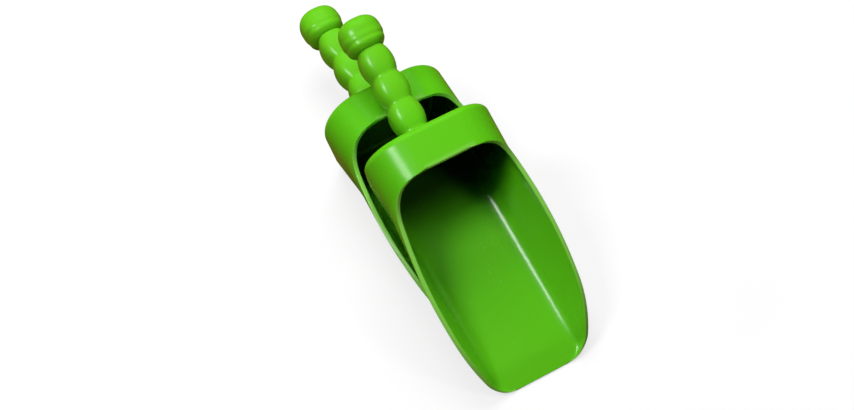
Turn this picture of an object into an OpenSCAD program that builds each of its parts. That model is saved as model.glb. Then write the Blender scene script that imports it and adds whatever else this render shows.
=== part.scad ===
// Two hooded sand shovels for a child, alike, the second laid over the first.
// Each one is a thin flared scoop under a hood, with a tang behind it that carries
// a bulged grip sleeve, and a rounded end knob plugged into the sleeve.
// X runs forward to the lip and Z is up. The origin lies on the ground, mid-width,
// below the mouth of the first shovel's hood.

/* [Scoop] */
// Outside width of the floor at the mouth of the hood
floor_w = 65; // [58:1:74]
// Outside width of the floor at the lip, before its corners are rounded
lip_w = 55.5; // [50:0.5:62]
// Length from the mouth of the hood to the lip
bowl_l = 120.5; // [108:0.5:132]
// Thickness of the moulded wall
wall = 2.8; // [2.2:0.1:3.4]
// Thickness left at the front edge of the lip
lip_t = 1.2; // [0.8:0.1:1.8]
// Outward lean of the side walls under the hood, in degrees
hood_flare = 11.2; // [8:0.2:15]
// Outward lean of the side walls at the lip, in degrees
lip_flare = 35.5; // [28:0.5:40]
// Radius between the floor and the side walls, outside
bottom_r = 6.5; // [5:0.5:8]
// Radius of the lip's corners, seen from above
nose_r = 9; // [7:0.5:12]

/* [Hood] */
// Depth of the hood from its mouth to the outside of the back wall
hood_d = 30.5; // [27:0.5:34]
// Height of the hood
hood_h = 64.5; // [60:0.5:69]
// Radius of the shoulders between the side walls and the top
shoulder_r = 24.5; // [20:0.5:28]
// Radius of the edges round the back wall
back_r = 5; // [4:0.5:7]
// How far the top edge of the mouth stands behind the mouth's foot
mouth_setback = 4.5; // [2.5:0.5:6.5]
// Backward lean of the mouth's edge, in degrees
mouth_lean = 18; // [14:1:24]

/* [Rim] */
// Height at which the line of the rim would meet the mouth of the hood
rim_h = 49; // [45.6:0.2:51]
// Fall of the rim towards the lip, in degrees
rim_fall = 16.5; // [15:0.5:18]
// Radius where the mouth's edge runs into the rim
mouth_r = 26; // [16:1:30]
// Radius of the long bend that takes the rim down to the lip
rim_r = 95; // [82:1:115]

/* [Handle] */
// Height of the handle's axis at the back wall
root_h = 28.4; // [26:0.1:31]
// Rise of the handle towards its end, in degrees
handle_rise = 4.2; // [2:0.2:6]
// Half-width of the grip at its necks
neck_w = 8.2; // [7.4:0.1:9]
// Half-height of the grip at its necks
neck_h = 9.9; // [9:0.1:10.8]
// How far the bulges stand out sideways from the necks
bulge = 2.6; // [1.6:0.1:3.2]
// How far the bulges stand out above and below the necks
bulge_h = 1.3; // [0.8:0.1:1.8]
// Distance from one neck to the next
bulge_pitch = 18.5; // [17:0.25:20]
// Number of whole bulges on the grip
bulge_count = 3; // [2:1:4]
// Distance from the back wall to the first neck
first_neck = 8.6; // [7:0.1:11]
// Length of the round collar between the back wall and the grip
collar_l = 2; // [1.6:0.1:3]
// Radius of the tang inside the grip
tang_r = 5; // [4:0.1:5.6]
// Half-width of the end knob
knob_w = 13.3; // [12:0.1:14.5]
// Half-height of the end knob
knob_h = 12.3; // [11.4:0.1:13.2]
// Length of the end knob behind the last neck
knob_l = 22; // [20:0.5:25]
// Length of the knob's plug inside the grip
plug_l = 10; // [7:0.5:12]

/* [Laid over] */
// Which neck of the second grip rests on the first hood, counted from the first neck
bearing_neck = 1; // [1:1:2]
// Turn of the second shovel, seen from above, in degrees
laid_yaw = -1; // [-3:0.2:3]
// Sideways shift of the second shovel
laid_shift = -3; // [-6:0.5:0]

/* [Hidden] */
// Clearance of the tang and the plug in the grip
fit_gap = 0.15;
// Gap left where the second shovel bears on the first and on the ground
rest_gap = 0.3;
// Free room between the end of the tang and the plug
plug_room = 1.5;
// How far a cut runs past what it cuts, and a boss into what it joins
overrun = 1;
// Squareness of the grip's rounded section: 2 is an ellipse
grip_power = 2.8;
// Fullness of the bulges along the grip: 1 is a plain wave, less is fuller
bulge_fullness = 0.75;
// Squareness of the knob's rounded section: 2 is an ellipse
knob_section_power = 2.4;
// Fullness of the knob along its length: 2 is an ellipse
knob_power = 2.6;
// Widest part of the knob, as a share of its length from the last neck
knob_mid_share = 0.5;
// Steps of the arcs and rows of the surfaces
arc_steps = 6;
wall_steps = 5;
shoulder_steps = 8;
bowl_steps = 10;
bulge_steps = 6;
round_steps = 24;
$fn = 48;

shovel_green = [0.36, 0.74, 0.08];
handle_green = [0.34, 0.70, 0.08];
knob_green = [0.32, 0.68, 0.08];

// Values that follow from the sizes
grip_end = first_neck + bulge_count * bulge_pitch;
tang_end = grip_end - plug_l - plug_room;
hood_flare_tan = tan(hood_flare);
lip_flare_tan = tan(lip_flare);
widest = floor_w / 2 + lip_flare_tan * hood_h;

function lerp(a, b, t) = a + (b - a) * t;
function steps(n) = [for (i = [0:n]) i / n];
function arc(c, r, from, to, n) =
    [for (t = steps(n)) c + r * [cos(lerp(from, to, t)), sin(lerp(from, to, t))]];

// Section of the scoop

function flare(x) = lerp(hood_flare_tan, lip_flare_tan, max(0, x / bowl_l));
function half_floor(x) = lerp(floor_w, lip_w, x / bowl_l) / 2;

// How far the rounded corner of the lip draws the section in at x, on a skin that lies d inside
function nose_cut(x, d) =
    let (r = nose_r - d, run = max(0, x - bowl_l + nose_r))
    r - sqrt(max(0, r * r - run * run));

// Right half of the section at x, on a skin that lies d inside: floor corner, wall, shoulder
function half_section(x, d) =
    let (
        f = flare(x),
        k = sqrt(1 + f * f),
        b = half_floor(x) - nose_cut(x, d),
        corner_r = max(bottom_r - d, bottom_r - wall),
        corner = [b + f * (d + corner_r) - (d + corner_r) * k, d + corner_r],
        shoulder = [b + f * (hood_h - shoulder_r) - shoulder_r * k, hood_h - shoulder_r],
        low = arc(corner, corner_r, -90, -atan(f), arc_steps),
        high = arc(shoulder, shoulder_r - d, -atan(f), 90, shoulder_steps)
    )
    concat(
        low,
        [for (i = [1:wall_steps - 1]) lerp(low[arc_steps], high[0], i / wall_steps)],
        high
    );

function ring(x, d) =
    let (half = half_section(x, d), n = len(half))
    concat(
        [for (p = half) [x, p[0], p[1]]],
        [for (i = [n - 1:-1:0]) [x, -half[i][0], half[i][1]]]
    );

// Rings of the skin that lies d inside, from the rounded edge of the back wall to the lip
function skin(d) =
    let (r = back_r - d)
    concat(
        [for (t = steps(arc_steps)) ring(back_r - hood_d - r * cos(90 * t), d + r * (1 - sin(90 * t)))],
        [for (t = steps(bowl_steps)) ring(t * (bowl_l - nose_r), d)],
        [for (i = [1:arc_steps]) ring(bowl_l - nose_r + nose_r * sin(90 * i / arc_steps), d)]
    );

// Triangles between neighbouring rings of n points, the first ring starting at point number start
function band(start, n) = [
    for (j = [0:n - 1])
        let (a = start + j, b = start + (j + 1) % n)
        each [[a, a + n, b], [b, a + n, b + n]]
];

function flipped(faces) = [for (f = faces) [for (i = [len(f) - 1:-1:0]) f[i]]];

// Closed solid through a stack of rings
module loft(rings) {
    n = len(rings[0]);
    last = (len(rings) - 1) * n;
    polyhedron(
        points = [for (r = rings) each r],
        faces = concat(
            [[for (j = [0:n - 1]) j]],
            [for (i = [0:len(rings) - 2]) each band(i * n, n)],
            [[for (j = [n - 1:-1:0]) last + j]]
        )
    );
}

// Cup between an outer and an inner stack of rings, closed behind and open in front
module cup(outer, inner) {
    n = len(outer[0]);
    rows = len(outer);
    gap = rows * n;
    edge = [
        for (j = [0:n - 1])
            let (a = gap - n + j, b = gap - n + (j + 1) % n)
            each [[a, a + gap, b], [b, a + gap, b + gap]]
    ];
    polyhedron(
        points = [for (r = concat(outer, inner)) each r],
        faces = concat(
            [[for (j = [0:n - 1]) j]],
            [for (i = [0:rows - 2]) each band(i * n, n)],
            edge,
            flipped([for (i = [0:rows - 2]) each band(gap + i * n, n)]),
            [[for (j = [n - 1:-1:0]) gap + j]]
        )
    );
}

// Side view of the rim: leaning edge of the mouth, straight fall, long bend to the lip

lip = [bowl_l, lip_t];
fall_dir = [cos(rim_fall), -sin(rim_fall)];
fall_up = [sin(rim_fall), cos(rim_fall)];
rim_start = [0, rim_h];
mouth_top = [-mouth_setback, hood_h];
mouth_dir = [sin(mouth_lean), -cos(mouth_lean)];

// Point where the mouth's edge would meet the straight rim
mouth_run = ((rim_start - mouth_top) * fall_up) / (mouth_dir * fall_up);
mouth_foot = mouth_top + mouth_run * mouth_dir;
mouth_turn = 90 - mouth_lean - rim_fall;
mouth_fillet = mouth_foot + mouth_r * tan(mouth_turn / 2) * fall_dir + mouth_r * fall_up;

// Centre of the long bend, which touches the straight rim and ends at the lip
lip_drop = (lip - rim_start) * fall_up;
bend_run = (lip - rim_start) * fall_dir - sqrt(rim_r * rim_r - pow(rim_r + lip_drop, 2));
bend = rim_start + bend_run * fall_dir - rim_r * fall_up;
bend_end = atan2(lip[1] - bend[1], lip[0] - bend[0]);

module rim_cut() {
    above = hood_h + overrun;
    rotate([90, 0, 0])
        linear_extrude(height = 2 * widest, center = true)
            polygon(concat(
                [mouth_top - (overrun / cos(mouth_lean)) * mouth_dir],
                arc(mouth_fillet, mouth_r, 180 + mouth_lean, 270 - rim_fall, arc_steps),
                arc(bend, rim_r, 90 - rim_fall, bend_end, bowl_steps),
                [[bowl_l + overrun, lip_t], [bowl_l + overrun, above]]
            ));
}

// Handle, in a frame whose Z runs along its axis from the back wall and whose X points up

module on_handle() {
    translate([-hood_d, 0, root_h])
        rotate([0, handle_rise - 90, 0])
            children();
}

// Height of the bulges' curve at a distance s from the back wall: zero at a neck, one at a crest
function bulge_curve(s) =
    let (along = (s - first_neck) / bulge_pitch)
    pow(max(0, sin(180 * (along - floor(along)))), bulge_fullness);

function power(v, e) = sign(v) * pow(abs(v), e);

// Ring of half-height h and half-width w at a distance s along the handle, more square for a high power
function round_ring(s, h, w, square) = [
    for (i = [0:round_steps - 1])
        let (a = 360 * i / round_steps)
        [h * power(cos(a), 2 / square), w * power(sin(a), 2 / square), s]
];

function grip_ring(s) =
    round_ring(s, neck_h + bulge_h * bulge_curve(s), neck_w + bulge * bulge_curve(s), grip_power);

// Knob: its front ring matches the last neck, its sides follow a full rounded curve
knob_mid = grip_end + knob_mid_share * knob_l;
knob_front = acos(pow(neck_w / knob_w, knob_power / 2));
knob_front_half = knob_mid_share * knob_l / pow(sin(knob_front), 2 / knob_power);
knob_back_half = (1 - knob_mid_share) * knob_l;
// Angle along the knob's curve at which its nearly flat end is closed
knob_last = 84;

function knob_ring(a) =
    let (
        half_w = knob_w * pow(cos(a), 2 / knob_power),
        half_l = a < 0 ? knob_front_half : knob_back_half,
        swell = min(1, (a + knob_front) / knob_front),
        half_h = half_w * lerp(neck_h / neck_w, knob_h / knob_w, swell),
        square = lerp(grip_power, knob_section_power, swell)
    )
    round_ring(knob_mid + half_l * power(sin(a), 2 / knob_power), half_h, half_w, square);

module scoop() {
    difference() {
        cup(skin(0), skin(wall));
        rim_cut();
    }
    on_handle() {
        translate([0, 0, -wall / 2])
            cylinder(r = neck_w, h = wall / 2 + collar_l);
        cylinder(r = tang_r, h = tang_end);
    }
}

module grip() {
    first = ceil((first_neck - collar_l) / bulge_pitch * bulge_steps) - 1;
    on_handle()
        difference() {
            loft(concat(
                [grip_ring(collar_l)],
                [for (i = [-first:bulge_count * bulge_steps])
                    grip_ring(first_neck + i * bulge_pitch / bulge_steps)]
            ));
            translate([0, 0, -overrun])
                cylinder(r = tang_r + fit_gap, h = grip_end + 2 * overrun);
        }
}

module end_knob() {
    on_handle() {
        loft(concat(
            [for (i = [arc_steps:-1:1]) knob_ring(-knob_front * i / arc_steps)],
            [for (t = steps(shoulder_steps)) knob_ring(knob_last * t)]
        ));
        translate([0, 0, grip_end - plug_l])
            cylinder(r = tang_r, h = plug_l + overrun);
    }
}

// The second shovel bears with its lip on the ground and with its grip on the top edge of the first
// hood's mouth, at a neck, which gives its tilt. The bearing is seen in the second shovel's own frame,
// for an edge that lies h below the axis of the grip.
bearing_s = first_neck + bearing_neck * bulge_pitch;
function bearing_back(h) = hood_d + bearing_s * cos(handle_rise) + h * sin(handle_rise);
function bearing_up(h) = root_h + bearing_s * sin(handle_rise) - h * cos(handle_rise);
function bearing_pitch(h) =
    let (reach = bowl_l + bearing_back(h), up = bearing_up(h))
    asin((hood_h - rest_gap) / norm([reach, up])) - atan2(up, reach);

// How far the bulge behind the neck holds it off the edge, because the bulge lies on the hood's top
bearing_tilt = bearing_pitch(neck_h + rest_gap) + handle_rise;
neck_stand = max([
    for (t = steps(bulge_steps))
        bulge_h * bulge_curve(bearing_s + t * bulge_pitch) - t * bulge_pitch * tan(bearing_tilt)
]);
bearing_h = neck_h + neck_stand + rest_gap;
laid_pitch = bearing_pitch(bearing_h);
bearing_run = bearing_back(bearing_h) * cos(laid_pitch) - bearing_up(bearing_h) * sin(laid_pitch);
laid_x = bearing_run - mouth_setback;
laid_z = bowl_l * sin(laid_pitch) + rest_gap;

module laid_over() {
    translate([laid_x, laid_shift, laid_z])
        rotate([0, laid_pitch, laid_yaw])
            children();
}

module lower_scoop() { color(shovel_green) scoop(); }
module lower_grip() { color(handle_green) grip(); }
module lower_end_knob() { color(knob_green) end_knob(); }
module upper_scoop() { color(shovel_green) laid_over() scoop(); }
module upper_grip() { color(handle_green) laid_over() grip(); }
module upper_end_knob() { color(knob_green) laid_over() end_knob(); }

lower_scoop();
lower_grip();
lower_end_knob();
upper_scoop();
upper_grip();
upper_end_knob();
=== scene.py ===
"""Looks of two hooded sand shovels, the second laid over the first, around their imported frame.

Each shovel is a lofted scoop shell, the collar and tang behind it, a bulged grip sleeve and an end knob.
All sizes are in metres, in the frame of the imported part: X forward to the lip, Z up, ground at zero.
"""

import logging
import math
from collections.abc import Callable, Mapping, Sequence
from dataclasses import dataclass, replace
from enum import Enum
from typing import Any

import bmesh
import bpy
from mathutils import Matrix, Vector

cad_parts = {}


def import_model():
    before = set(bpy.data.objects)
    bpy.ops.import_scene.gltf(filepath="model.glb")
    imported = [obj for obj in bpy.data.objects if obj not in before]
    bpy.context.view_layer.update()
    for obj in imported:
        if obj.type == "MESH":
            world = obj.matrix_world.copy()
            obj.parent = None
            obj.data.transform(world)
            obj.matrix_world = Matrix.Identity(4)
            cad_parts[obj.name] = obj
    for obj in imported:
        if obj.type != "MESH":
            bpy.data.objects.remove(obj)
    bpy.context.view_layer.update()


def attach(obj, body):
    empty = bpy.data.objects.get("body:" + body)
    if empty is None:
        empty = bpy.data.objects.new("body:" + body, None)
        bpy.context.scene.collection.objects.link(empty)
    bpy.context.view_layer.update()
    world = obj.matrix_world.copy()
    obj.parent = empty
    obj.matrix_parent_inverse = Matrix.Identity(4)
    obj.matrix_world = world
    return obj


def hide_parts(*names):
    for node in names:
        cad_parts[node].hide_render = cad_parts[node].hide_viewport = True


LOG = logging.getLogger("sand_shovels")
# Painted highlight: share of the pale colour mixed in along the open rim.
PAINTED_RIM_HIGHLIGHT_ATTRIBUTE = "painted_rim_highlight"
# Painted shade: share of the dark colour mixed in under the hood.
PAINTED_HOOD_SHADE_ATTRIBUTE = "painted_hood_shade"
ROUNDING_ATTRIBUTE = "bevel_weight_edge"
LIP_GROUP = "wall_share"
PHOTO_WIDTH_PX = 854
SEAM_ANGLE = 40.0
ROUND_SEGMENTS = 3
ELLIPSE_POWER = 2.0

# A Mix node of colours repeats its sockets' names, so they are picked by number.
MIX_FACTOR, MIX_FIRST, MIX_SECOND, MIX_RESULT = 0, 6, 7, 2

Colour = tuple[float, float, float, float]
RingShape = Callable[[int], Vector]
WHITE: Colour = (1.0, 1.0, 1.0, 1.0)


def lerp(a: float, b: float, t: float) -> float:
    """Value a share t of the way from a to b."""
    return a + (b - a) * t


def shares(count: int) -> list[float]:
    """Evenly spaced shares from 0 to 1 in a number of steps."""
    return [i / count for i in range(count + 1)]


def ease(start: float, end: float, value: float) -> float:
    """Smooth share, 0 at start and 1 at end, of a value between them."""
    t = min(1.0, max(0.0, (value - start) / (end - start)))
    return t * t * (3.0 - 2.0 * t)


def power(value: float, exponent: float) -> float:
    """Power of a value's size that keeps the value's sign."""
    return math.copysign(abs(value) ** exponent, value)


class Layer(Enum):
    """Which shovel of the pair a piece belongs to; the value is its CAD body."""

    LOWER = "lower_shovel"
    UPPER = "upper_shovel"

    @property
    def prefix(self) -> str:
        """Short name at the start of this shovel's nodes and pieces."""
        return self.name.lower()


@dataclass(frozen=True)
class ScoopSizes:
    """Driving sizes of one scoop, in metres and degrees.

    Attributes:
        floor_w: Width of the floor at the hood's mouth.
        lip_w: Width of the floor at the lip.
        bowl_l: Length of the floor from the hood's mouth to the lip.
        wall: Thickness of the wall.
        lip_t: Height of the rim at the lip.
        hood_flare: Lean of the side walls under the hood.
        lip_flare: Lean of the side walls at the lip.
        bottom_r: Radius between floor and wall at the lip.
        crease_r: Radius between floor and wall elsewhere.
        nose_r: Radius of the lip's corners, seen from above.
        hood_d: Depth of the hood from the mouth's foot to the back wall.
        hood_h: Height of the hood.
        shoulder_r: Radius of the hood's shoulders.
        back_r: Radius of the edge round the back wall.
        mouth_setback: How far the mouth's top lies behind its foot.
        mouth_lean: Lean of the mouth's edge from upright.
        rim_h: Height of the rim's straight fall at the mouth.
        rim_fall: Slope of the straight fall.
        mouth_r: Radius between the mouth's edge and the straight fall.
        rim_r: Radius of the long bend from the straight fall to the lip.
    """

    floor_w: float = 0.065
    lip_w: float = 0.0555
    bowl_l: float = 0.1205
    wall: float = 0.0028
    lip_t: float = 0.0012
    hood_flare: float = 11.2
    lip_flare: float = 35.5
    bottom_r: float = 0.0065
    crease_r: float = 0.012
    nose_r: float = 0.009
    hood_d: float = 0.0305
    hood_h: float = 0.0645
    shoulder_r: float = 0.0245
    back_r: float = 0.005
    mouth_setback: float = 0.0045
    mouth_lean: float = 18.0
    rim_h: float = 0.049
    rim_fall: float = 16.5
    mouth_r: float = 0.026
    rim_r: float = 0.095


@dataclass(frozen=True)
class HandleSizes:
    """Driving sizes of one handle, in metres and degrees.

    Attributes:
        root_h: Height at which the handle's axis leaves the back wall.
        rise: Slope of the axis.
        neck_w: Half-width of the grip at a neck.
        neck_h: Half-height of the grip at a neck.
        bulge: How far a bulge swells sideways.
        bulge_h: How far a bulge swells up and down.
        bulge_pitch: Length of one bulge.
        bulge_count: Number of whole bulges behind the first neck.
        first_neck: Distance from the back wall to the first neck.
        collar_l: Length of the collar.
        tang_r: Radius of the tang and of the knob's plug.
        fit_gap: Play of the sleeve's bore.
        knob_w: Half-width of the knob.
        knob_h: Half-height of the knob.
        knob_l: Length of the knob.
        plug_l: Length of its plug.
        plug_room: Space between plug and tang.
        grip_power: Squareness of the grip's section.
        knob_section_power: Squareness of the knob's section.
        knob_power: Squareness of the knob seen from above.
        knob_mid_share: Where the knob is widest, as a share of its length.
        bulge_fullness: Exponent of the bulges' wave; a smaller one makes them fuller.
        neck_softness: How far the necks are rounded.
        groove_at: Distance of the ring groove from the knob's front.
        groove_w: Reach of the groove to either side.
        groove_d: Depth of the groove.
    """

    root_h: float = 0.0284
    rise: float = 4.2
    neck_w: float = 0.0082
    neck_h: float = 0.0099
    bulge: float = 0.0026
    bulge_h: float = 0.0013
    bulge_pitch: float = 0.0185
    bulge_count: int = 3
    first_neck: float = 0.0086
    collar_l: float = 0.002
    tang_r: float = 0.005
    fit_gap: float = 0.00015
    knob_w: float = 0.0133
    knob_h: float = 0.0123
    knob_l: float = 0.022
    plug_l: float = 0.010
    plug_room: float = 0.0015
    grip_power: float = 2.8
    knob_section_power: float = 2.4
    knob_power: float = 2.6
    knob_mid_share: float = 0.5
    bulge_fullness: float = 0.75
    neck_softness: float = 0.12
    groove_at: float = 0.0058
    groove_w: float = 0.0016
    groove_d: float = 0.00045

    @property
    def grip_end(self) -> float:
        """Distance from the back wall to the last neck, where the knob starts."""
        return self.first_neck + self.bulge_count * self.bulge_pitch

    @property
    def tang_end(self) -> float:
        """Distance from the back wall to the end of the tang."""
        return self.grip_end - self.plug_l - self.plug_room

    def bulge_share(self, along: float) -> float:
        """Share of a bulge's full swell at a distance from the back wall: 0 at a neck, 1 at a crest."""
        wave = abs(math.sin(math.pi * (along - self.first_neck) / self.bulge_pitch))
        return wave**self.bulge_fullness


@dataclass(frozen=True)
class Bearing:
    """Where the second grip bears, behind and above its own origin, and the tilt that this gives."""

    back: float
    up: float
    pitch: float


@dataclass(frozen=True)
class LaidOver:
    """How the second shovel lies: lip on the ground, one neck of its grip on the first hood's edge."""

    scoop: ScoopSizes
    handle: HandleSizes
    bearing_neck: int = 1
    yaw: float = -1.0
    shift: float = -0.003
    rest_gap: float = 0.0003
    bulge_steps: int = 6

    def bearing(self, below: float) -> Bearing:
        """Bearing of the grip on an edge at a depth below its axis.

        Args:
            below: Depth of the edge below the grip's axis.

        Returns:
            The bearing.
        """
        s, h = self.scoop, self.handle
        rise = math.radians(h.rise)
        along = h.first_neck + self.bearing_neck * h.bulge_pitch
        back = s.hood_d + along * math.cos(rise) + below * math.sin(rise)
        up = h.root_h + along * math.sin(rise) - below * math.cos(rise)
        reach = s.bowl_l + back
        pitch = math.asin((s.hood_h - self.rest_gap) / math.hypot(reach, up)) - math.atan2(up, reach)
        return Bearing(back, up, pitch)

    def matrix(self) -> Matrix:
        """Place of the second shovel in the frame.

        Returns:
            The matrix that takes a shovel lying flat at the origin to its laid place.
        """
        s, h = self.scoop, self.handle
        level = self.bearing(h.neck_h + self.rest_gap)
        tilt = math.tan(level.pitch + math.radians(h.rise))
        steps = [t * h.bulge_pitch for t in shares(self.bulge_steps)]
        stand = max(h.bulge_h * h.bulge_share(h.first_neck + run) - run * tilt for run in steps)
        held = self.bearing(h.neck_h + stand + self.rest_gap)
        x = held.back * math.cos(held.pitch) - held.up * math.sin(held.pitch) - s.mouth_setback
        z = s.bowl_l * math.sin(held.pitch) + self.rest_gap
        turn = Matrix.Rotation(math.radians(self.yaw), 4, "Z") @ Matrix.Rotation(held.pitch, 4, "Y")
        return Matrix.Translation((x, self.shift, z)) @ turn


class Signal:
    """A shader value that can be summed and multiplied; each use adds a Math node."""

    def __init__(self, graph: "NodeGraph", socket: bpy.types.NodeSocket) -> None:
        """Wrap an output socket of a graph."""
        self.graph = graph
        self.socket = socket

    def _math(self, operation: str, other: Any) -> "Signal":
        """Add one Math node on this value and another.

        Args:
            operation: Blender's name of the operation.
            other: A number or a Signal.

        Returns:
            The node's result.
        """
        made = self.graph.node("ShaderNodeMath", {"operation": operation}, {0: self, 1: other})
        return Signal(self.graph, made.outputs[0])

    def __add__(self, other: Any) -> "Signal":
        """Sum with a number or a Signal."""
        return self._math("ADD", other)

    def __mul__(self, other: Any) -> "Signal":
        """Product with a number or a Signal."""
        return self._math("MULTIPLY", other)

    def band(self, low: float, high: float) -> "Signal":
        """Smooth step of this value.

        Args:
            low: Value at which the step is 0.
            high: Value at which the step is 1.

        Returns:
            The step.
        """
        made = self.graph.node(
            "ShaderNodeMapRange",
            {"interpolation_type": "SMOOTHSTEP"},
            {"Value": self, "From Min": low, "From Max": high},
        )
        return Signal(self.graph, made.outputs[0])


class NodeGraph:
    """Node tree of a material or of the world, filled through a single node method."""

    def __init__(self, owner: bpy.types.Material | bpy.types.World) -> None:
        """Start an empty tree.

        Args:
            owner: Material or world that the tree belongs to.
        """
        owner.use_nodes = True
        self.tree = owner.node_tree
        self.tree.nodes.clear()

    def node(
        self,
        kind: str,
        settings: Mapping[str, Any] | None = None,
        inputs: Mapping[str | int, Any] | None = None,
    ) -> bpy.types.Node:
        """Add one node.

        Args:
            kind: Blender's type name of the node.
            settings: Properties of the node, set before its sockets.
            inputs: Values or links of its sockets, by name or by number.

        Returns:
            The new node.
        """
        made = self.tree.nodes.new(kind)
        for key, value in (settings or {}).items():
            setattr(made, key, value)
        for key, value in (inputs or {}).items():
            socket = made.inputs[key]
            source = value.socket if isinstance(value, Signal) else value
            if isinstance(source, bpy.types.NodeSocket):
                self.tree.links.new(source, socket)
            else:
                socket.default_value = source
        return made

    def object_coordinates(self, stretch: Sequence[float] = (1.0, 1.0, 1.0)) -> bpy.types.NodeSocket:
        """Object coordinates, stretched along the axes.

        Args:
            stretch: Factor along X, Y and Z.

        Returns:
            The vector socket.
        """
        start = self.node("ShaderNodeTexCoord").outputs["Object"]
        return self.node("ShaderNodeMapping", None, {"Vector": start, "Scale": stretch}).outputs[0]

    def noise(self, scale: float, detail: float, vector: bpy.types.NodeSocket) -> Signal:
        """Noise texture value.

        Args:
            scale: Cycles per metre.
            detail: Octaves of finer noise.
            vector: Coordinates to read.

        Returns:
            The noise value, about 0 to 1.
        """
        inputs = {"Vector": vector, "Scale": scale, "Detail": detail}
        return Signal(self, self.node("ShaderNodeTexNoise", None, inputs).outputs[0])

    def seen(self, glossy_share: float) -> Signal:
        """Where a ray comes from the camera, or in part where it comes from a gloss.

        Args:
            glossy_share: How much of it a reflection gets.

        Returns:
            About 1 for what the camera sees, and 0 for light that falls on the object.
        """
        path = self.node("ShaderNodeLightPath")
        camera, glossy, through = (
            Signal(self, path.outputs[name])
            for name in ("Is Camera Ray", "Is Glossy Ray", "Is Transmission Ray")
        )
        return camera + glossy * glossy_share + through

    def attribute(self, name: str) -> Signal:
        """Value of a named mesh attribute."""
        made = self.node("ShaderNodeAttribute", {"attribute_name": name})
        return Signal(self, made.outputs["Fac"])

    def mix(self, factor: Any, first: Any, second: Any) -> bpy.types.NodeSocket:
        """Mix of two colours.

        Args:
            factor: Share of the second colour, a number or a Signal.
            first: Colour at 0, a tuple or a socket.
            second: Colour at 1, a tuple or a socket.

        Returns:
            The mixed colour's socket.
        """
        inputs = {MIX_FACTOR: factor, MIX_FIRST: first, MIX_SECOND: second}
        return self.node("ShaderNodeMix", {"data_type": "RGBA"}, inputs).outputs[MIX_RESULT]


@dataclass(frozen=True)
class MouldedPlastic:
    """Satin moulded plastic: drift of tone, fine skin, faint use marks, a painted highlight along the rim
    and painted shade under the hood.
    """

    name: str
    colour: Colour
    warm_colour: Colour
    # Pale colour of the use marks and of the painted highlight along the rim.
    wear_and_highlight_colour: Colour
    roughness: float = 0.28
    roughness_drift: float = 0.06
    drift_scale: float = 22.0
    drift_detail: float = 3.0
    drift_band: tuple[float, float] = (0.15, 0.85)
    skin_scale: float = 1500.0
    skin_detail: float = 2.0
    skin_depth: float = 0.00003
    skin_strength: float = 0.35
    ripple_scale: float = 90.0
    ripple_detail: float = 1.0
    ripple_depth: float = 0.00012
    scuff_stretch: tuple[float, float, float] = (60.0, 900.0, 900.0)
    scuff_detail: float = 2.0
    scuff_band: tuple[float, float] = (0.62, 0.78)
    wear_scale: float = 44.0
    wear_band: tuple[float, float] = (0.45, 0.65)
    scuff_amount: float = 0.05
    # Painted highlight: how much paler the rim is.
    painted_rim_highlight_amount: float = 0.55
    ior: float = 1.49
    specular: float = 0.34
    # Painted shade: the dark colour, and how much of it the hood's depth mixes in.
    painted_shade_colour: Colour = (0.008, 0.030, 0.003, 1.0)
    painted_shade_amount: float = 0.0

    def make(self) -> bpy.types.Material:
        """Build the material.

        Returns:
            The finished material.
        """
        material = bpy.data.materials.new(self.name)
        g = NodeGraph(material)
        place = g.object_coordinates()
        along = g.object_coordinates(self.scuff_stretch)
        drift = g.noise(self.drift_scale, self.drift_detail, place).band(*self.drift_band)
        scuff = g.noise(1.0, self.scuff_detail, along).band(*self.scuff_band)
        wear = g.noise(self.wear_scale, self.scuff_detail, place).band(*self.wear_band)
        marks = scuff * wear * self.scuff_amount
        tone = g.mix(drift, self.colour, self.warm_colour)
        marked = g.mix(marks, tone, self.wear_and_highlight_colour)
        # Painted highlight: the rim is mixed towards the pale colour.
        rim_highlighted = g.mix(g.attribute(PAINTED_RIM_HIGHLIGHT_ATTRIBUTE) * self.painted_rim_highlight_amount, marked, self.wear_and_highlight_colour)
        # Painted shade darkens the colour under the hood.
        colour = g.mix(g.attribute(PAINTED_HOOD_SHADE_ATTRIBUTE) * self.painted_shade_amount, rim_highlighted, self.painted_shade_colour)
        smoothest = self.roughness - self.roughness_drift / 2
        roughness = drift * self.roughness_drift + marks + smoothest
        ripple = g.noise(self.ripple_scale, self.ripple_detail, place)
        skin = g.noise(self.skin_scale, self.skin_detail, place)
        height = ripple * (self.ripple_depth / self.skin_depth) + skin
        bump = g.node(
            "ShaderNodeBump",
            None,
            {"Strength": self.skin_strength, "Distance": self.skin_depth, "Height": height},
        )
        shader = g.node(
            "ShaderNodeBsdfPrincipled",
            None,
            {
                "Base Color": colour,
                "Roughness": roughness,
                "IOR": self.ior,
                "Specular IOR Level": self.specular,
                "Normal": bump.outputs[0],
            },
        )
        g.node("ShaderNodeOutputMaterial", None, {"Surface": shader.outputs[0]})
        return material


LEAF_OUTSIDE = MouldedPlastic(
    name="leaf_green_scoop",
    colour=(0.107, 0.552, 0.008, 1),
    warm_colour=(0.122, 0.570, 0.009, 1),
    wear_and_highlight_colour=(0.35, 0.72, 0.14, 1),
)
# The inside's copy of the green, smoother and glossier, with painted shade that darkens it under the
# hood.
LEAF_INSIDE_PAINTED_SHADE = replace(
    LEAF_OUTSIDE, name="leaf_green_inside_painted_shade", painted_shade_amount=0.92, roughness=0.25, specular=0.70
)
# A little lighter than the scoop's green: painted highlight that stands in for the shine on the bulges.
LEAF_GRIP = MouldedPlastic(
    name="leaf_green_grip",
    colour=(0.126, 0.560, 0.010, 1),
    warm_colour=(0.146, 0.580, 0.012, 1),
    wear_and_highlight_colour=(0.37, 0.72, 0.15, 1),
)


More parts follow.
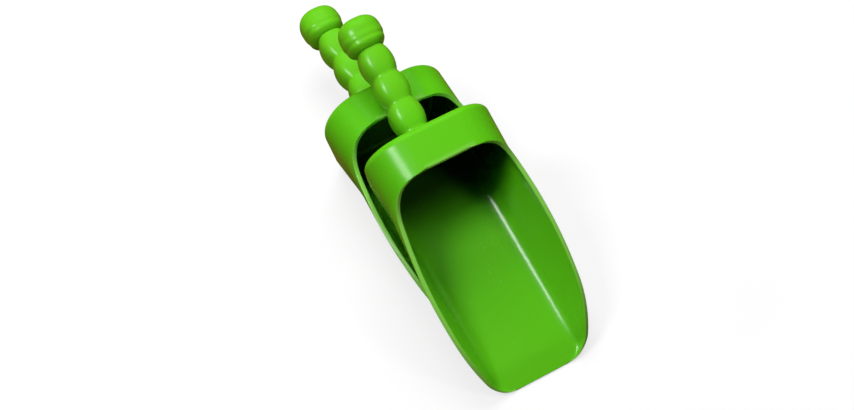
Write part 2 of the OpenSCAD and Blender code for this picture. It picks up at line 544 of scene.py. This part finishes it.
@dataclass(frozen=True)
class PaleFloor:
    """White studio floor with a faint shadow, which throws little of its white on the object."""

    name: str = "pale_floor"
    colour: Colour = WHITE
    mottle_colour: Colour = (0.98, 0.98, 0.98, 1.0)
    thrown_colour: Colour = (0.18, 0.08, 0.004, 1.0)
    bleach_share: float = 0.72
    mottle_scale: float = 6.0
    mottle_detail: float = 2.0
    mottle_band: tuple[float, float] = (0.3, 0.7)
    glossy_share: float = 0.01
    roughness: float = 0.9

    def make(self) -> bpy.types.Material:
        """Build the material.

        Returns:
            The finished material.
        """
        material = bpy.data.materials.new(self.name)
        g = NodeGraph(material)
        place = g.object_coordinates()
        mottle = g.noise(self.mottle_scale, self.mottle_detail, place).band(*self.mottle_band)
        shown = g.mix(mottle, self.colour, self.mottle_colour)
        seen = g.seen(self.glossy_share)
        shader = g.node(
            "ShaderNodeBsdfPrincipled",
            None,
            {
                "Base Color": g.mix(seen, self.thrown_colour, shown),
                "Roughness": self.roughness,
                "Specular IOR Level": 0.0,
            },
        )
        bleach = g.node("ShaderNodeEmission", None, {"Color": shown})
        whitened = g.node(
            "ShaderNodeMixShader",
            None,
            {0: seen * self.bleach_share, 1: shader.outputs[0], 2: bleach.outputs[0]},
        )
        g.node("ShaderNodeOutputMaterial", None, {"Surface": whitened.outputs[0]})
        return material


class RingLoft:
    """Mesh grown ring by ring: a circle of edges is extruded and each new ring is set to its shape."""

    def __init__(self, count: int) -> None:
        """Start with one circle, whose vertices are numbered round in a vertex layer.

        Args:
            count: Number of vertices.
        """
        self.mesh = bmesh.new()
        self.slot = self.mesh.verts.layers.int.new("slot")
        made = bmesh.ops.create_circle(self.mesh, cap_ends=False, segments=count, radius=1.0)
        for number, vert in enumerate(made["verts"]):
            vert[self.slot] = number
        self.first: list[bmesh.types.BMEdge] = list(self.mesh.edges)
        self.edges: list[bmesh.types.BMEdge] = list(self.mesh.edges)

    def shape(self, point: RingShape) -> None:
        """Set the current ring.

        Args:
            point: Gives the place of the vertex of a number.
        """
        for vert in {v for edge in self.edges for v in edge.verts}:
            vert.co = point(vert[self.slot])

    def grow(self, point: RingShape, keep: Callable[[int], bool] | None = None) -> None:
        """Extrude the current ring and set the new one.

        Args:
            point: Gives the place of the new ring's vertex of a number.
            keep: Says which numbers go on, for a ring that opens; all where it is left out.
        """
        if keep is not None:
            self.edges = [e for e in self.edges if all(keep(v[self.slot]) for v in e.verts)]
        made = bmesh.ops.extrude_edge_only(self.mesh, edges=self.edges)["geom"]
        new = {item for item in made if isinstance(item, bmesh.types.BMVert)}
        fresh = [item for item in made if isinstance(item, bmesh.types.BMEdge)]
        self.edges = [e for e in fresh if all(v in new for v in e.verts)]
        self.shape(point)

    def cap(self, edges: list[bmesh.types.BMEdge], inset: float) -> None:
        """Close a ring with a face and a narrow border inside it.

        Args:
            edges: The ring's edges.
            inset: Width of the border.
        """
        made = bmesh.ops.contextual_create(self.mesh, geom=edges)
        bmesh.ops.inset_region(self.mesh, faces=made["faces"], thickness=inset)

    def join_ends(self) -> None:
        """Bridge the last ring to the first, which closes a sleeve."""
        bmesh.ops.bridge_loops(self.mesh, edges=self.first + self.edges)

    def finish(self, name: str, place: Matrix) -> bpy.types.Object:
        """Turn the mesh into a smooth-shaded object.

        Args:
            name: Name of the object.
            place: Where it goes in the frame; the object itself stays at the origin.

        Returns:
            The object, linked to the scene.
        """
        bmesh.ops.recalc_face_normals(self.mesh, faces=list(self.mesh.faces))
        bmesh.ops.transform(self.mesh, matrix=place, verts=list(self.mesh.verts))
        data = bpy.data.meshes.new(name)
        self.mesh.to_mesh(data)
        self.mesh.free()
        data.attributes.remove(data.attributes["slot"])
        data.shade_smooth()
        made = bpy.data.objects.new(name, data)
        bpy.context.scene.collection.objects.link(made)
        return made


def even_normals(piece: bpy.types.Object) -> None:
    """Keep a piece's large faces flat beside its rounded edges."""
    piece.modifiers.new("even_normals", "WEIGHTED_NORMAL").keep_sharp = True


def round_edges(piece: bpy.types.Object, width: float) -> None:
    """Round a piece's sharp edges.

    Args:
        piece: The piece.
        width: Width of the rounding.
    """
    bevel = piece.modifiers.new("rounded_edges", "BEVEL")
    bevel.width = width
    bevel.segments = ROUND_SEGMENTS
    bevel.limit_method = "ANGLE"
    bevel.angle_limit = math.radians(SEAM_ANGLE)
    even_normals(piece)


@dataclass
class Scoop:
    """Thin flared scoop under a hood, with its rim swept from the hood's mouth to the lip."""

    layer: Layer
    place: Matrix
    sizes: ScoopSizes
    floor_steps: int = 6
    corner_steps: int = 8
    side_steps: int = 34
    top_steps: int = 6
    back_steps: int = 8
    hood_steps: int = 6
    mouth_steps: int = 26
    bowl_steps: int = 30
    nose_steps: int = 18
    mouth_end: float = 0.022
    mouth_crowding: float = 1.3
    corner_most: float = 0.5
    rim_round: float = 34.0
    rim_round_end: tuple[float, float] = (0.100, 0.117)
    least_round: float = 0.25
    # Painted shade: the darkening grows from here back into the hood.
    painted_shade_start: float = 0.016
    painted_shade_end: float = -0.012
    crease_end: tuple[float, float] = (0.095, 0.115)
    lip_taper: float = 0.014
    lip_skin: float = 0.0008
    cap_border: float = 0.002

    @property
    def half_steps(self) -> int:
        """Steps from the middle of the floor to the middle of the hood's top."""
        return self.floor_steps + self.side_steps + self.top_steps

    @property
    def rim_step(self) -> int:
        """Step at which the flat top of the hood starts, and the open rim lies."""
        return self.floor_steps + self.side_steps

    def half_number(self, slot: int) -> int:
        """Step from the floor's middle, on either side, of a ring's vertex number."""
        return min(slot, 2 * self.half_steps - slot)

    def is_below_rim(self, slot: int) -> bool:
        """Whether an open section keeps a ring's vertex number."""
        return self.half_number(slot) <= self.rim_step

    def flare(self, x: float) -> float:
        """Slope of the side walls.

        Args:
            x: Distance in front of the hood's mouth.

        Returns:
            How far they go outwards per height.
        """
        s = self.sizes
        low, high = math.tan(math.radians(s.hood_flare)), math.tan(math.radians(s.lip_flare))
        return lerp(low, high, max(0.0, x / s.bowl_l))

    def half_floor(self, x: float) -> float:
        """Half-width of the floor, drawn in round the lip's corners.

        Args:
            x: Distance in front of the hood's mouth.

        Returns:
            The half-width.
        """
        s = self.sizes
        run = max(0.0, x - s.bowl_l + s.nose_r)
        corner = s.nose_r - math.sqrt(max(0.0, s.nose_r**2 - run**2))
        return lerp(s.floor_w, s.lip_w, x / s.bowl_l) / 2 - corner

    def rim_height(self, x: float) -> float:
        """Height of the rim at x, seen from the side.

        Args:
            x: Distance in front of the hood's mouth.

        Returns:
            The height of the leaning mouth, its fillet, the straight fall or the long bend there.
        """
        s = self.sizes
        lean, fall = math.radians(s.mouth_lean), math.radians(s.rim_fall)
        ahead = Vector((math.cos(fall), -math.sin(fall)))
        up = Vector((math.sin(fall), math.cos(fall)))
        start, top = Vector((0, s.rim_h)), Vector((-s.mouth_setback, s.hood_h))
        lip = Vector((s.bowl_l, s.lip_t))
        edge = Vector((math.sin(lean), -math.cos(lean)))
        foot = top + edge * ((start - top).dot(up) / edge.dot(up))
        reach = s.mouth_r * math.tan((math.pi / 2 - lean - fall) / 2)
        fillet = foot + ahead * reach + up * s.mouth_r
        drop = (lip - start).dot(up)
        run = (lip - start).dot(ahead) - math.sqrt(s.rim_r**2 - (s.rim_r + drop) ** 2)
        bend = start + ahead * run - up * s.rim_r
        if x <= fillet.x - s.mouth_r * math.cos(lean):
            return s.hood_h - (x + s.mouth_setback) / math.tan(lean)
        if x <= fillet.x - s.mouth_r * math.sin(fall):
            return fillet.y - math.sqrt(s.mouth_r**2 - (x - fillet.x) ** 2)
        if x <= bend.x + s.rim_r * math.sin(fall):
            return s.rim_h - math.tan(fall) * x
        return bend.y + math.sqrt(s.rim_r**2 - (x - bend.x) ** 2)

    def half_section(self, x: float, inset: float, rim: float | None) -> list[Vector]:
        """Right half of the outside at one station.

        Args:
            x: Place of the station.
            inset: How far the rounded back edge draws the section in.
            rim: Height at which an open section ends, or None under the hood.

        Returns:
            Points from the floor's middle up to the rim, or on to the middle of the hood's top.
        """
        s = self.sizes
        slope = self.flare(x)
        lean, stretch = math.atan(slope), math.hypot(1.0, slope)
        base = self.half_floor(x)
        crease_r = lerp(s.crease_r, s.bottom_r, ease(*self.crease_end, x))
        low_r = max(crease_r - inset, crease_r - s.wall)
        low_z = inset + low_r
        low_y = base + slope * low_z - low_z * stretch
        high_r, high_z = s.shoulder_r - inset, s.hood_h - s.shoulder_r
        high_y = base + slope * high_z - s.shoulder_r * stretch
        low_len = low_r * (math.pi / 2 - lean)
        foot = Vector((low_y + low_r * math.cos(lean), low_z - low_r * math.sin(lean)))
        head = Vector((high_y + high_r * math.cos(lean), high_z - high_r * math.sin(lean)))
        wall_len = (head - foot).length

        def side(run: float) -> Vector:
            """Point along the floor corner, the wall and the shoulder.

            Args:
                run: Distance along them.

            Returns:
                The point across and up.
            """
            if run <= low_len:
                turn = run / low_r
                return Vector((low_y + low_r * math.sin(turn), low_z - low_r * math.cos(turn)))
            if run <= low_len + wall_len:
                return foot.lerp(head, (run - low_len) / wall_len)
            turn = (run - low_len - wall_len) / high_r - lean
            return Vector((high_y + high_r * math.cos(turn), high_z + high_r * math.sin(turn)))

        if rim is None:
            end = low_len + wall_len + high_r * (math.pi / 2 + lean)
        elif rim <= foot.y:
            end = low_r * math.acos(1.0 - (rim - inset) / low_r)
        elif rim <= head.y:
            end = low_len + wall_len * (rim - foot.y) / (head.y - foot.y)
        else:
            turned = math.asin(min(1.0, (rim - high_z) / high_r)) + lean
            end = low_len + wall_len + high_r * turned
        corner = min(low_len, end * self.corner_most)
        runs = [corner * t for t in shares(self.corner_steps)]
        runs += [lerp(corner, end, t) for t in shares(self.side_steps - self.corner_steps)[1:]]
        points = [Vector((low_y * t, inset)) for t in shares(self.floor_steps)]
        points += [side(run) for run in runs[1:]]
        if rim is None:
            top = s.hood_h - inset
            points += [Vector((high_y * (1 - t), top)) for t in shares(self.top_steps)[1:]]
        return points

    def ring(self, x: float, inset: float = 0.0, rim: float | None = None) -> RingShape:
        """Places of one ring's vertices by number.

        Args:
            x: Place of the station.
            inset: How far the rounded back edge draws the section in.
            rim: Height at which an open section ends, or None under the hood.

        Returns:
            A function from a vertex number to its place.
        """
        half = self.half_section(x, inset, rim)

        def point(slot: int) -> Vector:
            """Place of the vertex of that number."""
            at = half[self.half_number(slot)]
            return Vector((x, at.x if slot <= self.half_steps else -at.x, at.y))

        return point

    def build(self) -> bpy.types.Object:
        """Loft the shell, give it its wall and round its rim.

        Returns:
            The scoop's object.
        """
        s = self.sizes
        loft = RingLoft(2 * self.half_steps)
        loft.shape(self.ring(-s.hood_d, s.back_r))
        for t in shares(self.back_steps)[1:]:
            turn = math.pi / 2 * t
            x = s.back_r * (1 - math.cos(turn)) - s.hood_d
            loft.grow(self.ring(x, s.back_r * (1 - math.sin(turn))))
        for t in shares(self.hood_steps)[1:]:
            loft.grow(self.ring(lerp(s.back_r - s.hood_d, -s.mouth_setback, t)))
        for x in self.open_stations():
            loft.grow(self.ring(x, 0.0, self.rim_height(x)), self.is_below_rim)
        loft.cap(loft.first, self.cap_border)
        self.mark_rim(loft)
        piece = loft.finish(f"{self.layer.prefix}_scoop_shell", self.place)
        self.thicken(piece)
        self.round_rim(piece)
        return piece

    def open_stations(self) -> list[float]:
        """Places of the open stations, closest where the rim bends.

        Returns:
            Distances in front of the hood's mouth, up to the lip.
        """
        s = self.sizes
        nose = s.bowl_l - s.nose_r
        crowded = [t**self.mouth_crowding for t in shares(self.mouth_steps)[1:]]
        places = [lerp(-s.mouth_setback, self.mouth_end, t) for t in crowded]
        places += [lerp(self.mouth_end, nose, t) for t in shares(self.bowl_steps)[1:]]
        places += [nose + s.nose_r * math.sin(math.pi / 2 * t) for t in shares(self.nose_steps)[1:]]
        return places

    def mark_rim(self, loft: RingLoft) -> None:
        """Mark the open edge, which is rounded and gets a painted highlight, and the depth under the
        hood, which gets painted shade.

        Args:
            loft: The lofted outside, before it is set in its place.
        """
        rounding = loft.mesh.edges.layers.float.new(ROUNDING_ATTRIBUTE)
        for edge in loft.mesh.edges:
            ahead = max(vert.co.x for vert in edge.verts)
            share = 1.0 - ease(*self.rim_round_end, ahead)
            edge[rounding] = share if edge.is_boundary and share > self.least_round else 0.0
        # Painted highlight: the open edge's vertices are marked for the paler colour.
        rim = loft.mesh.verts.layers.float.new(PAINTED_RIM_HIGHLIGHT_ATTRIBUTE)
        # Painted shade: depth under the hood, for the darkening mixed into the colour.
        hood = loft.mesh.verts.layers.float.new(PAINTED_HOOD_SHADE_ATTRIBUTE)
        for vert in loft.mesh.verts:
            vert[rim] = 1.0 if vert.is_boundary else 0.0
            vert[hood] = ease(self.painted_shade_start, self.painted_shade_end, vert.co.x)

    def round_rim(self, piece: bpy.types.Object) -> None:
        """Round the marked rim by a share of the edges beside it.

        Args:
            piece: The shell with its wall.
        """
        bevel = piece.modifiers.new("rounded_rim", "BEVEL")
        bevel.limit_method = "WEIGHT"
        bevel.offset_type = "PERCENT"
        bevel.width_pct = self.rim_round
        bevel.segments = ROUND_SEGMENTS
        even_normals(piece)

    def thicken(self, piece: bpy.types.Object) -> None:
        """Give the shell its wall, thinned towards the lip.

        Args:
            piece: The lofted outside of the scoop.
        """
        s = self.sizes
        group = piece.vertex_groups.new(name=LIP_GROUP)
        back = self.place.inverted()
        for vert in piece.data.vertices:
            ahead = max(0.0, (back @ vert.co).x - s.bowl_l + self.lip_taper) / self.lip_taper
            group.add([vert.index], lerp(1.0, self.lip_skin / s.wall, min(1.0, ahead)), "REPLACE")
        wall = piece.modifiers.new("wall", "SOLIDIFY")
        wall.thickness = s.wall
        wall.offset = -1.0
        wall.use_even_offset = True
        wall.use_quality_normals = True
        wall.vertex_group = LIP_GROUP
        # The inside faces take the second material, with its painted shade under the hood.
        wall.material_offset = 1


@dataclass
class Handle:
    """Collar and tang of the scoop, the bulged sleeve on it and the knob plugged into the sleeve."""

    layer: Layer
    place: Matrix
    sizes: HandleSizes
    hood_d: float
    wall: float
    round_steps: int = 72
    bulge_steps: int = 18
    knob_steps: int = 36
    seam_round: float = 0.0007
    pole_angle: float = 88.0
    cap_border: float = 0.001
    pole_border: float = 0.00025

    def axis(self) -> Matrix:
        """Frame of the handle.

        Returns:
            The matrix of a frame with Z along the handle from the back wall, and X up.
        """
        rise = math.radians(self.sizes.rise)
        root = Matrix.Translation((-self.hood_d, 0.0, self.sizes.root_h))
        return self.place @ root @ Matrix.Rotation(rise - math.pi / 2, 4, "Y")

    def ring(self, along: float, half_h: float, half_w: float, square: float) -> RingShape:
        """Places of one ring's vertices by number.

        Args:
            along: Distance from the back wall.
            half_h: Half-height of the section.
            half_w: Half-width of the section.
            square: Squareness of the section, 2 for an ellipse.

        Returns:
            A function from a vertex number to its place.
        """

        def point(slot: int) -> Vector:
            """Place of one vertex.

            Args:
                slot: The vertex's number.

            Returns:
                Its place along the handle's frame.
            """
            turn = 2 * math.pi * slot / self.round_steps
            x, y = power(math.cos(turn), 2 / square), power(math.sin(turn), 2 / square)
            return Vector((half_h * x, half_w * y, along))

        return point

    def round_ring(self, along: float, radius: float) -> RingShape:
        """Places of a true circle's vertices by number."""
        return self.ring(along, radius, radius, ELLIPSE_POWER)

    def grip_ring(self, along: float) -> RingShape:
        """Places of the sleeve's ring, on the bulges' curve.

        Args:
            along: Distance from the back wall.

        Returns:
            A function from a vertex number to its place.
        """
        s = self.sizes
        share = math.hypot(s.bulge_share(along), s.neck_softness) - s.neck_softness
        half_h, half_w = s.neck_h + s.bulge_h * share, s.neck_w + s.bulge * share
        return self.ring(along, half_h, half_w, s.grip_power)

    def knob_ring(self, turn: float, front: float) -> RingShape:
        """Places of the knob's ring.

        Args:
            turn: Angle along the knob's curve, zero where it is widest.
            front: Angle at which the knob is as wide as the last neck.

        Returns:
            A function from a vertex number to its place.
        """
        s = self.sizes
        wide = s.knob_w * math.cos(turn) ** (2 / s.knob_power)
        front_l = s.knob_mid_share * s.knob_l / math.sin(front) ** (2 / s.knob_power)
        half_l = front_l if turn < 0 else (1 - s.knob_mid_share) * s.knob_l
        swell = min(1.0, (turn + front) / front)
        high = wide * lerp(s.neck_h / s.neck_w, s.knob_h / s.knob_w, swell)
        run = s.knob_mid_share * s.knob_l + half_l * power(math.sin(turn), 2 / s.knob_power)
        groove = s.groove_d * math.exp(-(((run - s.groove_at) / s.groove_w) ** 2))
        square = lerp(s.grip_power, s.knob_section_power, swell)
        return self.ring(s.grip_end + run, high - groove, wide - groove, square)

    def build_tang(self) -> bpy.types.Object:
        """Loft the collar and the tang behind the back wall.

        Returns:
            The tang's object.
        """
        s = self.sizes
        loft = RingLoft(self.round_steps)
        loft.shape(self.round_ring(-self.wall / 2, s.neck_w))
        loft.grow(self.round_ring(s.collar_l, s.neck_w))
        loft.grow(self.round_ring(s.collar_l, s.tang_r))
        loft.grow(self.round_ring(s.tang_end, s.tang_r))
        loft.cap(loft.first, self.cap_border)
        loft.cap(loft.edges, self.cap_border)
        piece = loft.finish(f"{self.layer.prefix}_tang", self.axis())
        round_edges(piece, self.seam_round / 2)
        return piece

    def build_grip(self) -> bpy.types.Object:
        """Loft the bulged sleeve and its bore.

        Returns:
            The grip's object.
        """
        s = self.sizes
        steps = round((s.grip_end - s.collar_l) / s.bulge_pitch * self.bulge_steps)
        loft = RingLoft(self.round_steps)
        loft.shape(self.grip_ring(s.collar_l))
        for t in shares(steps)[1:]:
            loft.grow(self.grip_ring(lerp(s.collar_l, s.grip_end, t)))
        loft.grow(self.round_ring(s.grip_end, s.tang_r + s.fit_gap))
        loft.grow(self.round_ring(s.collar_l, s.tang_r + s.fit_gap))
        loft.join_ends()
        piece = loft.finish(f"{self.layer.prefix}_grip_sleeve", self.axis())
        round_edges(piece, self.seam_round)
        return piece

    def build_knob(self) -> bpy.types.Object:
        """Loft the plug and the rounded end knob.

        Returns:
            The knob's object.
        """
        s = self.sizes
        front = math.acos((s.neck_w / s.knob_w) ** (s.knob_power / 2))
        loft = RingLoft(self.round_steps)
        loft.shape(self.round_ring(s.grip_end - s.plug_l, s.tang_r))
        loft.grow(self.round_ring(s.grip_end, s.tang_r))
        for t in shares(self.knob_steps):
            loft.grow(self.knob_ring(-front * (1 - t), front))
        for t in shares(self.knob_steps)[1:]:
            loft.grow(self.knob_ring(math.radians(self.pole_angle) * t, front))
        loft.cap(loft.first, self.cap_border)
        loft.cap(loft.edges, self.pole_border)
        piece = loft.finish(f"{self.layer.prefix}_knob", self.axis())
        round_edges(piece, self.seam_round)
        return piece


@dataclass
class Shovel:
    """One shovel of the pair, dressed and set on its CAD body."""

    layer: Layer
    place: Matrix
    scoop: ScoopSizes
    handle: HandleSizes
    scoop_finish: bpy.types.Material
    # Inside material, with painted shade under the hood.
    inside_painted_shade_finish: bpy.types.Material
    handle_finish: bpy.types.Material

    def build(self) -> list[bpy.types.Object]:
        """Build and dress the shovel's pieces.

        Returns:
            The pieces.
        """
        prefix = self.layer.prefix
        handle = Handle(self.layer, self.place, self.handle, self.scoop.hood_d, self.scoop.wall)
        scoop = Scoop(self.layer, self.place, self.scoop)
        shell = self.dress(scoop.build(), self.scoop_finish)
        shell.data.materials.append(self.inside_painted_shade_finish)
        tang = self.dress(handle.build_tang(), self.scoop_finish)
        grip = self.dress(handle.build_grip(), self.handle_finish)
        knob = self.dress(handle.build_knob(), self.handle_finish)
        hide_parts(f"{prefix}_scoop")
        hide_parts(f"{prefix}_grip")
        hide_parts(f"{prefix}_end_knob")
        return [shell, tang, grip, knob]

    def dress(self, piece: bpy.types.Object, finish: bpy.types.Material) -> bpy.types.Object:
        """Give a piece its finish and set it on the shovel's body.

        Args:
            piece: The piece.
            finish: Its material.

        Returns:
            The same piece.
        """
        piece.data.materials.append(finish)
        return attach(piece, self.layer.value)


@dataclass(frozen=True)
class PhotoCamera:
    """Camera at the photograph's viewing angle, around a point between the shovels."""

    azimuth: float = 61.457
    elevation: float = 57.023
    roll: float = -0.048
    distance: float = 1.23308
    target: tuple[float, float, float] = (0.0433, 0.0, 0.0379)
    slide: tuple[float, float] = (-0.00937, -0.0088)
    focal_px: float = 2074.3
    sensor_mm: float = 36.0

    def make(self) -> bpy.types.Object:
        """Create the camera and make it the scene's.

        Returns:
            The camera object.
        """
        az, el = math.radians(self.azimuth), math.radians(self.elevation)
        right = Vector((math.cos(az), math.sin(az), 0.0))
        back = Vector((math.sin(az) * math.cos(el), -math.cos(az) * math.cos(el), math.sin(el)))
        up = back.cross(right)
        c, s = math.cos(self.roll), math.sin(self.roll)
        right, up = right * c + up * s, up * c - right * s
        at = Vector(self.target) + right * self.slide[0] + up * self.slide[1] + back * self.distance
        data = bpy.data.cameras.new("photo_camera")
        data.sensor_width = self.sensor_mm
        data.lens = self.focal_px / PHOTO_WIDTH_PX * self.sensor_mm
        made = bpy.data.objects.new("photo_camera", data)
        turn = Matrix((right, up, back)).transposed().to_4x4()
        made.matrix_world = Matrix.Translation(at) @ turn
        bpy.context.scene.collection.objects.link(made)
        bpy.context.scene.camera = made
        return made


@dataclass(frozen=True)
class Softbox:
    """Square studio lamp that looks at the shovels; one that isn't mirrored shows in no gloss."""

    name: str
    direction: tuple[float, float, float]
    size: float
    watts: float
    mirrored: bool = True
    distance: float = 1.6

    def make(self, target: Vector) -> bpy.types.Object:
        """Create the lamp.

        Args:
            target: Point that the lamp looks at.

        Returns:
            The lamp object.
        """
        data = bpy.data.lights.new(self.name, "AREA")
        data.shape = "SQUARE"
        data.size = self.size
        data.energy = self.watts
        made = bpy.data.objects.new(self.name, data)
        made.visible_glossy = self.mirrored
        way = Vector(self.direction).normalized()
        turn = way.to_track_quat("Z", "Y").to_matrix().to_4x4()
        made.matrix_world = Matrix.Translation(target + way * self.distance) @ turn
        bpy.context.scene.collection.objects.link(made)
        return made


@dataclass
class Studio:
    """Floor, soft lamps and plain surroundings."""

    floor: PaleFloor = PaleFloor()
    floor_half: float = 6.0
    floor_cells: int = 8
    ambient: float = 0.012
    glossy_share: float = 0.01
    target: tuple[float, float, float] = (0.03, 0.0, 0.03)
    lamps: tuple[Softbox, ...] = (
        Softbox("key_left", (-0.10, -0.54, 0.84), size=0.45, watts=12.5),
        Softbox("overhead", (-0.05, -0.10, 0.99), size=0.60, watts=3.6, mirrored=False),
        Softbox("rear_right", (-0.60, 0.20, 0.77), size=0.90, watts=18.5, mirrored=False),
        Softbox("front_right", (0.54, 0.48, 0.69), size=0.30, watts=3.8, mirrored=False),
    )

    def make(self) -> None:
        """Create the stage."""
        mesh = bmesh.new()
        cells = self.floor_cells
        bmesh.ops.create_grid(mesh, x_segments=cells, y_segments=cells, size=self.floor_half)
        data = bpy.data.meshes.new("studio_floor")
        mesh.to_mesh(data)
        mesh.free()
        data.materials.append(self.floor.make())
        ground = bpy.data.objects.new("studio_floor", data)
        bpy.context.scene.collection.objects.link(ground)
        for lamp in self.lamps:
            lamp.make(Vector(self.target))
        self.make_world()

    def make_world(self) -> None:
        """Surroundings that are white to the camera and dim as a light."""
        world = bpy.data.worlds.new("pale_surroundings")
        g = NodeGraph(world)
        strength = g.seen(self.glossy_share) * (1.0 - self.ambient) + self.ambient
        white = g.node("ShaderNodeBackground", None, {"Color": WHITE, "Strength": strength})
        g.node("ShaderNodeOutputWorld", None, {"Surface": white.outputs[0]})
        bpy.context.scene.world = world


def main() -> None:
    """Load the frame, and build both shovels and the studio."""
    logging.basicConfig(level=logging.INFO, format="%(name)s: %(message)s")
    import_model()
    scoop, handle = ScoopSizes(), HandleSizes()
    finishes = [finish.make() for finish in (LEAF_OUTSIDE, LEAF_INSIDE_PAINTED_SHADE, LEAF_GRIP)]
    places = {Layer.LOWER: Matrix.Identity(4), Layer.UPPER: LaidOver(scoop, handle).matrix()}
    for layer, place in places.items():
        for piece in Shovel(layer, place, scoop, handle, *finishes).build():
            LOG.info("%s rides on %s", piece.name, layer.value)
    Studio().make()
    PhotoCamera().make()
    bpy.context.scene.view_settings.view_transform = "Standard"


if __name__ == "__main__":
    main()
